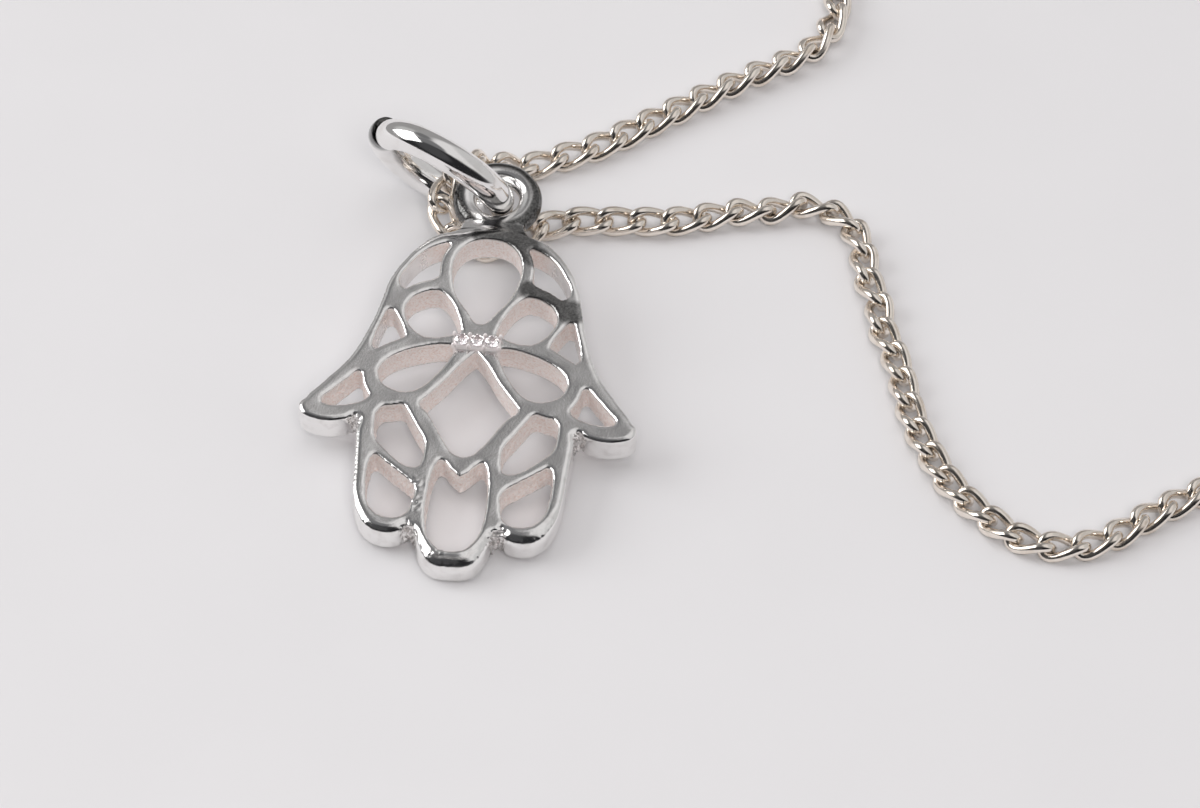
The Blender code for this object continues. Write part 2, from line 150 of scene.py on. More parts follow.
# The chain's route in millimetres from the floor point under the flower: from the clasp
# round the back to the jump ring, through it, and back round the front. A point with a
# height rises over the ring's wire, and every other one lies on the floor.
CHAIN_ROUTE = (
    (113.5, 92.3), (101, 99.5), (83, 103.5), (61, 100.5), (41.5, 89.5), (26.5, 71),
    (18.5, 50), (15.7, 32), (15.3, 21.3), (15.15, 19.9), (14.6, 18.75), (13.5, 17.9),
    (11.9, 17.0), (10.16, 16.0), (8.44, 14.95), (6.72, 13.85), (5.02, 12.8),
    (3.32, 12.05), (2.0, 11.55, 0.72), (1.05, 11.2, 1.1), (0.4, 10.95, 1.5),
    (-0.2, 10.65, 1.95), (-0.95, 10.1, 2.25), (-1.52, 9.35, 2.15), (-1.76, 8.6, 1.75),
    (-1.68, 7.8, 1.25), (-1.2, 7.2, 0.86), (-0.4, 6.98, 0.64), (0.6, 7.1), (1.6, 7.4),
    (2.5, 7.85), (3.6, 8.2), (5.02, 8.37), (6.7, 8.43), (8.38, 8.54), (10.07, 8.82),
    (11.75, 9.05), (13.3, 9.3), (14.6, 9.3), (15.45, 8.6), (15.8, 7.4), (16.11, 5.69),
    (16.48, 4.03), (16.76, 2.39), (17.2, 0.76), (17.51, -0.86), (17.87, -2.46),
    (18.42, -4.05), (19.17, -5.62), (20.13, -6.92), (21.48, -8.21), (22.9, -9.05),
    (24.24, -9.13), (25.48, -8.47), (27.15, -7.44), (29.24, -6.25), (38, -3.5),
    (53, -5.5), (70, -8), (88, -6.5), (106, 1), (121, 15), (130, 31.5), (133, 48),
    (131.6, 63), (127.6, 75.2),
)


class PendantSizes(bpy.types.PropertyGroup):
    """Sizes that a user may change."""

    plate_width: bpy.props.FloatProperty(
        name="Hand Width", description="Width across the two thumbs",
        default=13.8 * MM, precision=5, unit="LENGTH",
    )
    plate_length: bpy.props.FloatProperty(
        name="Hand Length", description="Length from the top edge to the middle fingertip",
        default=16.5 * MM, precision=5, unit="LENGTH",
    )
    plate_thickness: bpy.props.FloatProperty(
        name="Hand Thickness", description="Thickness of the openwork hand",
        default=1.4 * MM, precision=5, unit="LENGTH",
    )
    grid: bpy.props.FloatProperty(
        name="Casting Grid", description="Size of the cells that the hand is remeshed with",
        default=0.073 * MM, precision=6, unit="LENGTH",
    )
    ring_radius: bpy.props.FloatProperty(
        name="Jump Ring Radius", description="Radius of the jump ring's centre line",
        default=2.8 * MM, precision=5, unit="LENGTH",
    )
    ring_wire: bpy.props.FloatProperty(
        name="Jump Ring Wire", description="Radius of the jump ring's wire",
        default=0.65 * MM, precision=5, unit="LENGTH",
    )
    stone_diameter: bpy.props.FloatProperty(
        name="Stone Diameter", description="Diameter of each stone's girdle",
        default=0.58 * MM, precision=5, unit="LENGTH",
    )
    link_width: bpy.props.FloatProperty(
        name="Link Width", description="Width of a chain link over its wire",
        default=1.26 * MM, precision=5, unit="LENGTH",
    )
    link_wire: bpy.props.FloatProperty(
        name="Link Wire", description="Diameter of a chain link's wire",
        default=0.40 * MM, precision=5, unit="LENGTH",
    )
    link_pitch: bpy.props.FloatProperty(
        name="Link Pitch", description="Distance from one link to the next",
        default=1.38 * MM, precision=5, unit="LENGTH",
    )


class PendantFinish(bpy.types.PropertyGroup):
    """Colours that a user may change."""

    silver: bpy.props.FloatVectorProperty(
        name="Silver", description="Colour of the polished silver",
        default=(0.93, 0.92, 0.91), size=3, min=0.0, max=1.0, subtype="COLOR",
    )
    chain_silver: bpy.props.FloatVectorProperty(
        name="Chain Silver", description="Colour of the warmer chain",
        default=(0.94, 0.87, 0.79), size=3, min=0.0, max=1.0, subtype="COLOR",
    )
    floor: bpy.props.FloatVectorProperty(
        name="Floor", description="Colour of the floor",
        default=(0.74, 0.735, 0.75), size=3, min=0.0, max=1.0, subtype="COLOR",
    )


def select_only(*objects):
    """Deselect all, then select these with the first one active."""
    bpy.ops.object.select_all(action="DESELECT")
    for obj in objects:
        obj.select_set(True)
    bpy.context.view_layer.objects.active = objects[0]


def added(primitive, **settings):
    """Add a primitive with nothing else selected and return its object."""
    bpy.ops.object.select_all(action="DESELECT")
    primitive(**settings)
    return bpy.context.active_object


def apply_modifiers(obj):
    select_only(obj)
    for modifier in list(obj.modifiers):
        bpy.ops.object.modifier_apply(modifier=modifier.name)


def apply_place(obj):
    """Move the object's own place, turn and scale into its mesh."""
    select_only(obj)
    bpy.ops.object.transform_apply(location=True, rotation=True, scale=True)


def joined(objects):
    """Join the objects into the first one."""
    select_only(*objects)
    bpy.ops.object.join()
    return objects[0]


def placed(obj, matrix):
    """Put the mesh where the matrix says and leave its object at the origin."""
    apply_place(obj)
    obj.data.transform(matrix)
    obj.data.update()


def smooth_faces(obj, degrees):
    """Shade smooth all but the edges that turn by more than this angle."""
    select_only(obj)
    bpy.ops.object.shade_smooth_by_angle(angle=math.radians(degrees))


def finished(obj, name, material, slot, *nodes):
    """Name a piece, give it its material and tie it to the frame."""
    obj.name = name
    obj.data.name = name
    obj.data.materials.clear()
    obj.data.materials.append(material)
    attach(obj, "root")
    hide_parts(*nodes)


def new_object(name, data):
    obj = bpy.data.objects.new(name, data)
    bpy.context.scene.collection.objects.link(obj)
    return obj


def to_mesh(obj):
    """Turn a curve object into a mesh object through the Convert operator."""
    select_only(obj)
    bpy.ops.object.convert(target="MESH")
    return bpy.context.active_object


def clamped(value):
    return min(1.0, max(0.0, value))


def add_node(nodes, kind, values=(), **settings):
    """A new node with these settings, and then these input values."""
    node = nodes.new(kind)
    for name, value in settings.items():
        setattr(node, name, value)
    for socket, value in dict(values).items():
        node.inputs[socket].default_value = value
    return node


def link_up(links, *rows):
    """Link nodes. A row is a node and its output, then a node and its input."""
    for start, output, end, socket in rows:
        links.new(start.outputs[output], end.inputs[socket])


def new_material(name):
    """A material, with its nodes, its links and its main shader at hand."""
    material = bpy.data.materials.new(name)
    material.use_nodes = True
    tree = material.node_tree
    return material, tree.nodes, tree.links, tree.nodes["Principled BSDF"]


def metal_marks_group():
    """Node group for polished metal: soft roughness changes, tiny pits and a faint cast."""
    name = "Metal Marks"
    if name in bpy.data.node_groups:
        return bpy.data.node_groups[name]
    group = bpy.data.node_groups.new(name, "ShaderNodeTree")
    face = group.interface
    for socket, kind, value in (
        ("Grain", "NodeSocketFloat", 2500.0),
        ("Smooth", "NodeSocketFloat", 0.1),
        ("Rough", "NodeSocketFloat", 0.25),
        ("Light", "NodeSocketColor", (0.9, 0.9, 0.9, 1.0)),
        ("Dull", "NodeSocketColor", (0.7, 0.7, 0.7, 1.0)),
    ):
        made = face.new_socket(socket, in_out="INPUT", socket_type=kind)
        made.default_value = value
    face.new_socket("Colour", in_out="OUTPUT", socket_type="NodeSocketColor")
    face.new_socket("Roughness", in_out="OUTPUT", socket_type="NodeSocketFloat")
    face.new_socket("Height", in_out="OUTPUT", socket_type="NodeSocketFloat")
    nodes = group.nodes
    entry = nodes.new("NodeGroupInput")
    leave = nodes.new("NodeGroupOutput")
    place = nodes.new("ShaderNodeTexCoord")
    broad = add_node(nodes, "ShaderNodeTexNoise", {"Detail": 4.0})
    fine = add_node(nodes, "ShaderNodeTexNoise", {"Detail": 6.0, "Roughness": 0.65})
    times = add_node(nodes, "ShaderNodeMath", {1: 5.0}, operation="MULTIPLY")
    span = add_node(nodes, "ShaderNodeMapRange", {"From Min": 0.35, "From Max": 0.7})
    mix = add_node(nodes, "ShaderNodeMix", data_type="RGBA")
    tint = add_node(nodes, "ShaderNodeMapRange", {"From Min": 0.5, "From Max": 0.75})
    link_up(
        group.links,
        (place, "Object", broad, "Vector"),
        (place, "Object", fine, "Vector"),
        (entry, "Grain", broad, "Scale"),
        (entry, "Grain", times, 0),
        (times, 0, fine, "Scale"),
        (broad, "Fac", span, "Value"),
        (entry, "Smooth", span, "To Min"),
        (entry, "Rough", span, "To Max"),
        (broad, "Fac", tint, "Value"),
        (tint, "Result", mix, "Factor"),
        (entry, "Light", mix, "A"),
        (entry, "Dull", mix, "B"),
        (mix, "Result", leave, "Colour"),
        (span, "Result", leave, "Roughness"),
        (fine, "Fac", leave, "Height"),
    )
    return group


def cast_skin(nodes, links, shader, marks, relief, tint, rough, metallic):
    """Let the pale, matt skin of the casting show where polishing doesn't reach."""
    mask = add_node(nodes, "ShaderNodeAttribute", attribute_name=SKIN)
    warm = [value * share for value, share in zip(tint, SKIN_SHADE)]
    blush = add_node(
        nodes, "ShaderNodeMix", {"A": (*tint, 1.0), "B": (*warm, 1.0)}, data_type="RGBA"
    )
    spots = add_node(nodes, "ShaderNodeMapRange", {"From Min": 0.46, "From Max": 0.66})
    colour = add_node(nodes, "ShaderNodeMix", data_type="RGBA")
    shallow = relief.inputs["Distance"].default_value
    pits = add_node(nodes, "ShaderNodeMapRange", {"To Min": shallow, "To Max": PIT_DEPTH})
    gloss = add_node(nodes, "ShaderNodeMapRange", {"To Max": rough})
    sheen = add_node(nodes, "ShaderNodeMapRange", {"To Min": 1.0, "To Max": metallic})
    link_up(
        links,
        (marks, "Height", spots, "Value"),
        (spots, "Result", blush, "Factor"),
        (blush, "Result", colour, "B"),
        (mask, "Fac", colour, "Factor"),
        (marks, "Colour", colour, "A"),
        (mask, "Fac", pits, "Value"),
        (pits, "Result", relief, "Distance"),
        (mask, "Fac", gloss, "Value"),
        (marks, "Roughness", gloss, "To Min"),
        (gloss, "Result", shader, "Roughness"),
        (mask, "Fac", sheen, "Value"),
        (sheen, "Result", shader, "Metallic"),
    )
    return colour.outputs["Result"]


def shaded_patches(nodes, links, before, marks, tint):
    """Darken the colour by the painted shade mask, unevenly and with specks: painted shade
    and dark reflections.
    """
    mask = add_node(nodes, "ShaderNodeAttribute", attribute_name=SHADE_MASK)
    specks = add_node(
        nodes, "ShaderNodeMapRange",
        {"From Min": 0.3, "From Max": 0.6, "To Min": 1.15, "To Max": 0.88},
    )
    share = add_node(nodes, "ShaderNodeMath", operation="MULTIPLY", use_clamp=True)
    colour = add_node(nodes, "ShaderNodeMix", {"B": (*tint, 1.0)}, data_type="RGBA")
    link_up(
        links,
        (marks, "Height", specks, "Value"),
        (mask, "Fac", share, 0),
        (specks, "Result", share, 1),
        (share, 0, colour, "Factor"),
    )
    links.new(before, colour.inputs["A"])
    return colour.outputs["Result"]


def marked(name, light, dull, smooth, rough, grain):
    """A material whose colour and gloss follow the marks, and its parts."""
    material, nodes, links, shader = new_material(name)
    values = {
        "Grain": grain, "Smooth": smooth, "Rough": rough,
        "Light": (*light, 1.0), "Dull": (*dull, 1.0),
    }
    marks = add_node(nodes, "ShaderNodeGroup", values, node_tree=metal_marks_group())
    link_up(
        links,
        (marks, "Colour", shader, "Base Color"),
        (marks, "Roughness", shader, "Roughness"),
    )
    return material, nodes, links, shader, marks


def metal(name, light, dull, smooth, rough, grain, bump):
    """Polished metal with uneven gloss, a faint dull cast and fine pits."""
    material, nodes, links, shader, marks = marked(name, light, dull, smooth, rough, grain)
    shader.inputs["Metallic"].default_value = 1.0
    relief = add_node(nodes, "ShaderNodeBump", {"Strength": 0.5, "Distance": bump})
    link_up(
        links,
        (marks, "Height", relief, "Height"),
        (relief, "Normal", shader, "Normal"),
    )
    return material


def part_polished(material, tint, rough, metallic, dark):
    """Give a metal the matt cast skin of the inner walls and its patches of painted shade
    and dark reflection.
    """
    nodes = material.node_tree.nodes
    links = material.node_tree.links
    marks = next(node for node in nodes if node.type == "GROUP")
    relief = next(node for node in nodes if node.type == "BUMP")
    shader = nodes["Principled BSDF"]
    colour = cast_skin(nodes, links, shader, marks, relief, tint, rough, metallic)
    colour = shaded_patches(nodes, links, colour, marks, dark)
    links.new(colour, shader.inputs["Base Color"])


def crystal():
    """Clear cut stone with bright, slightly uneven facets."""
    material, _, _, shader, _ = marked(
        "clear cut stone", (0.985, 0.945, 0.955), (0.94, 0.85, 0.87), 0.0, 0.03, 3000.0
    )
    shader.inputs["Transmission Weight"].default_value = 1.0
    shader.inputs["IOR"].default_value = 2.1
    return material


def mirrored(points):
    return [(-across, along) for across, along in reversed(points)]


def plate_mm(sizes, points):
    """Plate positions in millimetres of a table's shares."""
    half_width = sizes.plate_width / MM / 2
    length = sizes.plate_length / MM
    return [(across * half_width, along * length) for across, along in points]


def whole_outline(sizes):
    right = plate_mm(sizes, OUTLINE)
    return right + mirrored(right)[1:-1]


def add_contour(curve, points, corner=math.pi):
    """Add a closed spline that runs smoothly through all but its sharper corners."""
    spline = curve.splines.new("BEZIER")
    spline.bezier_points.add(len(points) - 1)
    for knot, (across, along) in zip(spline.bezier_points, points):
        knot.co = (across, along, 0.0)
    for index, knot in enumerate(spline.bezier_points):
        here = Vector(points[index])
        before = here - Vector(points[index - 1])
        after = Vector(points[(index + 1) % len(points)]) - here
        handle = "VECTOR" if before.angle(after) > corner else "AUTO"
        knot.handle_left_type = handle
        knot.handle_right_type = handle
    spline.use_cyclic_u = True


# An opening's edge keeps a corner where it turns by more than this
OPENING_CORNER = math.radians(34.0)


def cut_hand(sizes):
    """The flat openwork hand in millimetres, with sharp edges."""
    curve = bpy.data.curves.new("hand outline", "CURVE")
    curve.dimensions = "2D"
    curve.fill_mode = "BOTH"
    curve.resolution_u = 8
    curve.extrude = sizes.plate_thickness / MM / 2
    add_contour(curve, whole_outline(sizes))
    for table in MIDDLE_OPENINGS.values():
        right = plate_mm(sizes, table)
        add_contour(curve, right + mirrored(right)[1:-1], OPENING_CORNER)
    for table in SIDE_OPENINGS.values():
        right = plate_mm(sizes, table)
        add_contour(curve, right, OPENING_CORNER)
        add_contour(curve, mirrored(right), OPENING_CORNER)
    hand = to_mesh(new_object("hand outline", curve))
    bpy.ops.object.mode_set(mode="EDIT")
    bpy.ops.mesh.select_all(action="SELECT")
    bpy.ops.mesh.remove_doubles(threshold=1e-4)
    bpy.ops.mesh.normals_make_consistent(inside=False)
    bpy.ops.object.mode_set(mode="OBJECT")
    return hand


# Where the outline turns in between the fingers and under the thumbs, in the same shares
NOTCHES = ((0.249, -0.545), (0.640, -0.245))

# How far the hand's sides curl up, in millimetres for each square millimetre across
DISH = 0.0022

# Radius in millimetres that the outer edge is worn to, by the distance along from the
# flower's centre. The fingertips from left to right are worn to different radii.
SIDE_ROUND = 0.20
UNDER_ROUND = 0.28
THUMB_ROUND = 0.20
TIP_ROUND = (0.42, 0.69, 0.58)

# Where the thumbs and the middle finger are, and where each fingertip's wear starts and
# how far on it is full, in millimetres from the flower's centre
THUMB_ACROSS = 4.6
THUMB_ALONG = -1.5
MIDDLE_ACROSS = 1.8
TIP_START = (7.6, 8.8, 7.6)
TIP_RUN = 1.2

# The loop and its neck in millimetres. The neck is a wedge, given by half its width and
# half its thickness at its base and its top.
LOOP_RADIUS = 1.37
LOOP_WIRE = 0.50
LOOP_RISE = 1.85
NECK_SINK = 0.45
NECK_BASE = (1.7, 0.55)
NECK_TOP = (LOOP_RADIUS * 0.8, 0.42)


def top_edge(sizes):
    return OUTLINE[0][1] * sizes.plate_length / MM


def cast_loop(sizes):
    """The fixed loop on the hand's top edge and the neck that carries it."""
    centre = top_edge(sizes) + LOOP_RISE
    loop = added(
        bpy.ops.mesh.primitive_torus_add, major_radius=LOOP_RADIUS,
        minor_radius=LOOP_WIRE, major_segments=64, minor_segments=24,
        location=(0.0, centre, 0.0),
    )
    base = top_edge(sizes) - NECK_SINK
    reach = centre - LOOP_RADIUS + LOOP_WIRE / 2
    neck = added(bpy.ops.mesh.primitive_cube_add, size=1.0)
    for vertex in neck.data.vertices:
        upper = vertex.co.y > 0.0
        across, deep = NECK_TOP if upper else NECK_BASE
        vertex.co.x = math.copysign(across, vertex.co.x)
        vertex.co.y = reach if upper else base
        vertex.co.z = math.copysign(deep, vertex.co.z)
    return [loop, neck]


def outline_tree(sizes):
    """The hand's outer edge as close points, to tell rim from opening."""
    curve = bpy.data.curves.new("rim guide", "CURVE")
    curve.resolution_u = 12
    add_contour(curve, whole_outline(sizes))
    guide = to_mesh(new_object("rim guide", curve))
    tree = KDTree(len(guide.data.vertices))
    for index, vertex in enumerate(guide.data.vertices):
        tree.insert((vertex.co.x, vertex.co.y, 0.0), index)
    tree.balance()
    bpy.data.objects.remove(guide, do_unlink=True)
    return tree


def rim_radius(across, along):
    """How far the outer edge is worn round at a place of the hand."""
    if abs(across) > THUMB_ACROSS and along < THUMB_ALONG:
        return THUMB_ROUND
    finger = 1 if abs(across) < MIDDLE_ACROSS else 0 if across < 0.0 else 2
    low = clamped((-along - TIP_START[finger]) / TIP_RUN)
    return SIDE_ROUND + (TIP_ROUND[finger] - SIDE_ROUND) * low


def round_rim(hand, rim, half, top):
    """Wear the outer edge round, most at the fingertips, and leave the openings crisp."""
    facings = [vertex.normal.copy() for vertex in hand.data.vertices]
    for vertex, facing in zip(hand.data.vertices, facings):
        on_neck = vertex.co.y > top - 0.1 and abs(vertex.co.x) < 1.9
        if on_neck:
            continue
        radius = rim_radius(vertex.co.x, vertex.co.y)
        if vertex.co.z < 0.0:
            radius = min(radius, UNDER_ROUND)
        nearest, _, distance = rim.find((vertex.co.x, vertex.co.y, 0.0))
        out = radius - distance
        rise = abs(vertex.co.z) - half + radius
        reach = math.hypot(out, rise)
        if out <= 0.0 or rise <= 0.0 or reach <= radius:
            continue
        away = Vector((nearest.x - vertex.co.x, nearest.y - vertex.co.y, 0.0))
        if away.length < 0.05:
            away = Vector((facing.x, facing.y, 0.0))
        if away.length > 0.0:
            vertex.co -= away.normalized() * out * (1.0 - radius / reach)
        flat = half - radius + rise * radius / reach
        vertex.co.z = math.copysign(flat, vertex.co.z)
    hand.data.update()


# Burrs left at the openings' edges in millimetres from the flower's centre
BURRS = ((-0.5, -10.1, 0.4), (-1.7, -7.0, 0.45), (-1.65, -7.9, 0.45))

# Patches of painted dark reflection and shade on the polished face, in millimetres from the
# flower's centre: place and radius
SHADED_FACE_PATCHES = (
    (1.25, 5.05, 0.95), (1.95, 4.55, 0.6), (0.1, 5.5, 0.6), (-0.5, 5.5, 0.4),
    (1.2, 5.9, 0.95), (0.4, 6.0, 0.5),
    (1.9, 2.9, 0.55), (2.45, 2.65, 0.6), (3.0, 2.35, 0.6), (3.7, 1.9, 0.7),
)
FACE_SHADE_DEPTH = 0.76


def painted_shade(sizes, co):
    """How much painted shade a place of the hand's upper side gets: painted dark reflection
    on patches of its face and on the loop's outer flank.
    """
    centre = top_edge(sizes) + LOOP_RISE
    # The loop's outer flank is painted dark, standing in for a dark reflection
    if co.z > -0.25 and co.y > centre - LOOP_RADIUS:
        out = math.hypot(co.x, co.y - centre) - LOOP_RADIUS
        return 0.95 * clamped((out + 0.02) / 0.14)
    level = 0.1 if co.y > top_edge(sizes) - 0.25 else sizes.plate_thickness / MM / 2 - 0.12
    face = clamped((co.z - level) / 0.08)
    inside = max(
        clamped(3.5 * (1.0 - math.hypot(co.x - x, co.y - y) / radius))
        for x, y, radius in SHADED_FACE_PATCHES
    )
    return FACE_SHADE_DEPTH * face * inside


def ring_end_shade(place):
    """How much painted shade the ring's ends get at a point of the ring's own frame: a dark
    line at the seam, and the far end painted as if in shadow.
    """
    angle = math.atan2(place.y, place.x) % math.tau
    if min(angle, math.tau - angle) < 0.03:
        return 1.0
    return clamped((0.40 - angle) / 0.2)


def add_mask(obj, name, values):
    """Keep a value for each vertex, for a material to read."""
    layer = obj.data.attributes.new(name, "FLOAT", "POINT")
    layer.data.foreach_set("value", values)


def add_weights(obj, name, weight_of):
    """A vertex group whose weights come from a function of each vertex."""
    group = obj.vertex_groups.new(name=name)
    for vertex in obj.data.vertices:
        weight = weight_of(vertex)
        if weight > 0.0:
            group.add([vertex.index], min(1.0, weight), "REPLACE")


def add_smoothing(obj, name, repeats, group=""):
    smooth = obj.modifiers.new(name, "SMOOTH")
    smooth.factor = 0.5
    smooth.iterations = repeats
    smooth.vertex_group = group


def add_roughness(obj, name, group, size, strength, depth=2):
    """Push the surface in and out with a clouds texture."""
    texture = bpy.data.textures.new(name, "CLOUDS")
    texture.noise_scale = size
    texture.noise_depth = depth
    displace = obj.modifiers.new(name, "DISPLACE")
    displace.texture = texture
    displace.texture_coords = "LOCAL"
    displace.strength = strength
    displace.mid_level = 0.5
    displace.vertex_group = group


class PENDANT_OT_hand(bpy.types.Operator):
    """Cast the openwork hand with its loop"""

    bl_idname = "pendant.hand"
    bl_label = "Openwork Hand"

    def execute(self, context):
        sizes = context.scene.pendant_sizes
        finish = context.scene.pendant_finish
        hand = joined([cut_hand(sizes), *cast_loop(sizes)])
        half = sizes.plate_thickness / MM / 2
        remesh = hand.modifiers.new("casting grid", "REMESH")
        remesh.mode = "VOXEL"
        remesh.voxel_size = sizes.grid / MM
        remesh.use_smooth_shade = True
        apply_modifiers(hand)
        rim = outline_tree(sizes)

        def rim_distance(vertex):
            return rim.find((vertex.co.x, vertex.co.y, 0.0))[2]

        def loop_weight(vertex):
            return (vertex.co.y - top_edge(sizes) + 0.5) / 0.5

        def foot_weight(vertex):
            above = vertex.co.y - top_edge(sizes)
            rise = min(1.0, (above + 0.55) / 0.25, (0.95 - above) / 0.3)
            return min(rise, (2.1 - abs(vertex.co.x)) / 0.3)

        def side_weight(vertex):
            return clamped((half - 0.04 - abs(vertex.co.z)) / 0.08)

        def notch_weight(vertex):
            near = max(
                1.0 - abs(abs(vertex.co.x) - across) / 0.45
                - max(0.0, abs(vertex.co.y - along) - 0.25) / 0.25
                for across, along in plate_mm(sizes, NOTCHES)
            )
            return side_weight(vertex) * max(0.0, near)

        def rough_weight(vertex):
            burr = max(
                1.0 - math.hypot(vertex.co.x - x, vertex.co.y - y) / radius
                for x, y, radius in BURRS
            )
            return max(notch_weight(vertex), 0.35 * burr)

        def wall_weight(vertex):
            if vertex.co.y > top_edge(sizes) - 0.1:
                return 0.0
            inner = clamped((rim_distance(vertex) - 0.3) / 0.2)
            return max(side_weight(vertex) * inner, 0.35 * notch_weight(vertex))

        def bump_weight(vertex):
            low = 0.35 + 0.65 * clamped(-vertex.co.y / 5.0)
            return low * wall_weight(vertex)

        round_rim(hand, rim, half, top_edge(sizes))
        add_weights(hand, "loop", loop_weight)
        add_weights(hand, "foot", foot_weight)
        add_weights(hand, "walls", bump_weight)
        add_weights(hand, "burrs", rough_weight)
        add_smoothing(hand, "soft edges", 2)
        add_smoothing(hand, "worn loop", 8, "loop")
        add_smoothing(hand, "run of the foot", 45, "foot")
        add_roughness(hand, "cast walls", "walls", 0.20, 0.15)
        add_roughness(hand, "pits and burrs", "burrs", 0.14, 0.75)
        add_roughness(hand, "polishing waves", "", 1.5, 0.04, 1)
        skin = [wall_weight(vertex) for vertex in hand.data.vertices]
        apply_modifiers(hand)
        hand.vertex_groups.clear()
        add_mask(hand, SKIN, skin)
        # Painted shade: dark reflections painted on patches of the face and on the loop's
        # outer flank
        dark = [painted_shade(sizes, vertex.co) for vertex in hand.data.vertices]
        add_mask(hand, SHADE_MASK, dark)
        for vertex in hand.data.vertices:
            vertex.co.z += DISH * vertex.co.x ** 2
        placed(hand, PLATE_PLACE @ Matrix.Scale(MM, 4))
        hand.data.shade_smooth()
        material = metal(
            "polished cast silver", finish.silver, (0.80, 0.78, 0.77), 0.08, 0.20, 2200.0,
            8e-6,
        )
        # The last colour is the painted shade for the face's patches and the loop
        part_polished(material, (0.98, 0.93, 0.91), 0.5, 0.12, (0.05, 0.05, 0.048))
        finished(hand, "openwork_hand", material, "cast_silver", "hamsa_plate")
        return {"FINISHED"}


# The stones' bar, seats and beads in millimetres. The girdle and the bar rise from the
# plate's face, and the beads' middles from the bar's top.
STONE_GAP = 0.05
GIRDLE_RISE = 0.29
BAR_RISE = 0.17
BAR_DEPTH = 0.6
BAR_WIDTH = 0.70
BAR_ENDS = 0.06
BAR_ROUND = 0.14
SEAT_CLEARANCE = 0.05
SEAT_FLOOR = 0.06
SEAT_DEPTH = 0.25
SEAT_SINK = 0.005
BEAD_RADIUS = 0.09
BEAD_RISE = 0.04
BEAD_STRETCH = 1.7

# A stone's rings of points: radius as a share of the stone's, height in millimetres,
# count, and turn as a share of one step
STONE_RINGS = (
    (0.56, 0.13, 8, 0.0), (0.80, 0.092, 8, 0.5), (1.0, 0.03, 16, 0.0),
    (1.0, 0.0, 16, 0.0), (0.55, -0.112, 8, 0.5),
)
STONE_TIP = -0.2


def stone_pitch(sizes):
    return sizes.stone_diameter / MM + STONE_GAP


class PENDANT_OT_setting(bpy.types.Operator):
    """Model the raised bar with its seats and the beads that hold the stones"""

    bl_idname = "pendant.setting"
    bl_label = "Stone Setting"

    def execute(self, context):
        sizes = context.scene.pendant_sizes
        pitch = stone_pitch(sizes)
        stone_radius = sizes.stone_diameter / MM / 2
        half = sizes.plate_thickness / MM / 2
        top = half + BAR_RISE
        girdle = half + GIRDLE_RISE
        height = BAR_RISE + BAR_DEPTH
        bar = added(
            bpy.ops.mesh.primitive_cube_add, size=1.0, location=(0.0, 0.0, top - height / 2)
        )
        bar.scale = (3 * pitch + BAR_ENDS, BAR_WIDTH, height)
        apply_place(bar)
        bevel = bar.modifiers.new("rounded edges", "BEVEL")
        bevel.width = BAR_ROUND
        bevel.segments = 5
        cutter = joined([
            added(
                bpy.ops.mesh.primitive_cone_add, vertices=32, radius1=SEAT_FLOOR,
                radius2=stone_radius + SEAT_CLEARANCE / 2, depth=SEAT_DEPTH,
                location=(index * pitch, 0.0, girdle - SEAT_SINK - SEAT_DEPTH / 2),
            )
            for index in (-1, 0, 1)
        ])
        seats = bar.modifiers.new("seats", "BOOLEAN")
        seats.operation = "DIFFERENCE"
        seats.solver = "EXACT"
        seats.object = cutter
        apply_modifiers(bar)
        bpy.data.objects.remove(cutter, do_unlink=True)
        beads = []
        reach = stone_radius + SEAT_CLEARANCE + BEAD_RADIUS
        side = math.sqrt(reach ** 2 - (pitch / 2) ** 2)
        for index in range(4):
            for sign in (-1, 1):
                bead = added(
                    bpy.ops.mesh.primitive_uv_sphere_add, segments=20, ring_count=14,
                    radius=BEAD_RADIUS,
                    location=((index - 1.5) * pitch, sign * side, top + BEAD_RISE),
                )
                bead.scale = (1.0, 1.0, BEAD_STRETCH)
                apply_place(bead)
                beads.append(bead)
        setting = joined([bar, *beads])
        placed(setting, PLATE_PLACE @ Matrix.Scale(MM, 4))
        smooth_faces(setting, 40.0)
        material = metal(
            "matt setting silver", (0.97, 0.93, 0.93), (0.94, 0.86, 0.87), 0.30, 0.50,
            2500.0, 6e-6,
        )
        material.node_tree.nodes["Principled BSDF"].inputs["Metallic"].default_value = 0.35
        finished(setting, "stone_setting", material, "cast_silver", "hamsa_plate")
        return {"FINISHED"}


def cut_stone(sizes):
    """A round brilliant: table, star, kite and girdle facets over a faceted pavilion."""
    points = bmesh.new()
    for share, height, count, start in STONE_RINGS:
        radius = share * sizes.stone_diameter / MM / 2
        for index in range(count):
            angle = math.tau * (index + start) / count
            points.verts.new((radius * math.cos(angle), radius * math.sin(angle), height))
    points.verts.new((0.0, 0.0, STONE_TIP))
    mesh = bpy.data.meshes.new("brilliant")
    points.to_mesh(mesh)
    points.free()
    stone = new_object("brilliant", mesh)
    select_only(stone)
    bpy.ops.object.mode_set(mode="EDIT")
    bpy.ops.mesh.select_all(action="SELECT")
    bpy.ops.mesh.convex_hull()
    bpy.ops.mesh.dissolve_limited(angle_limit=math.radians(0.5))
    bpy.ops.object.mode_set(mode="OBJECT")
    return stone


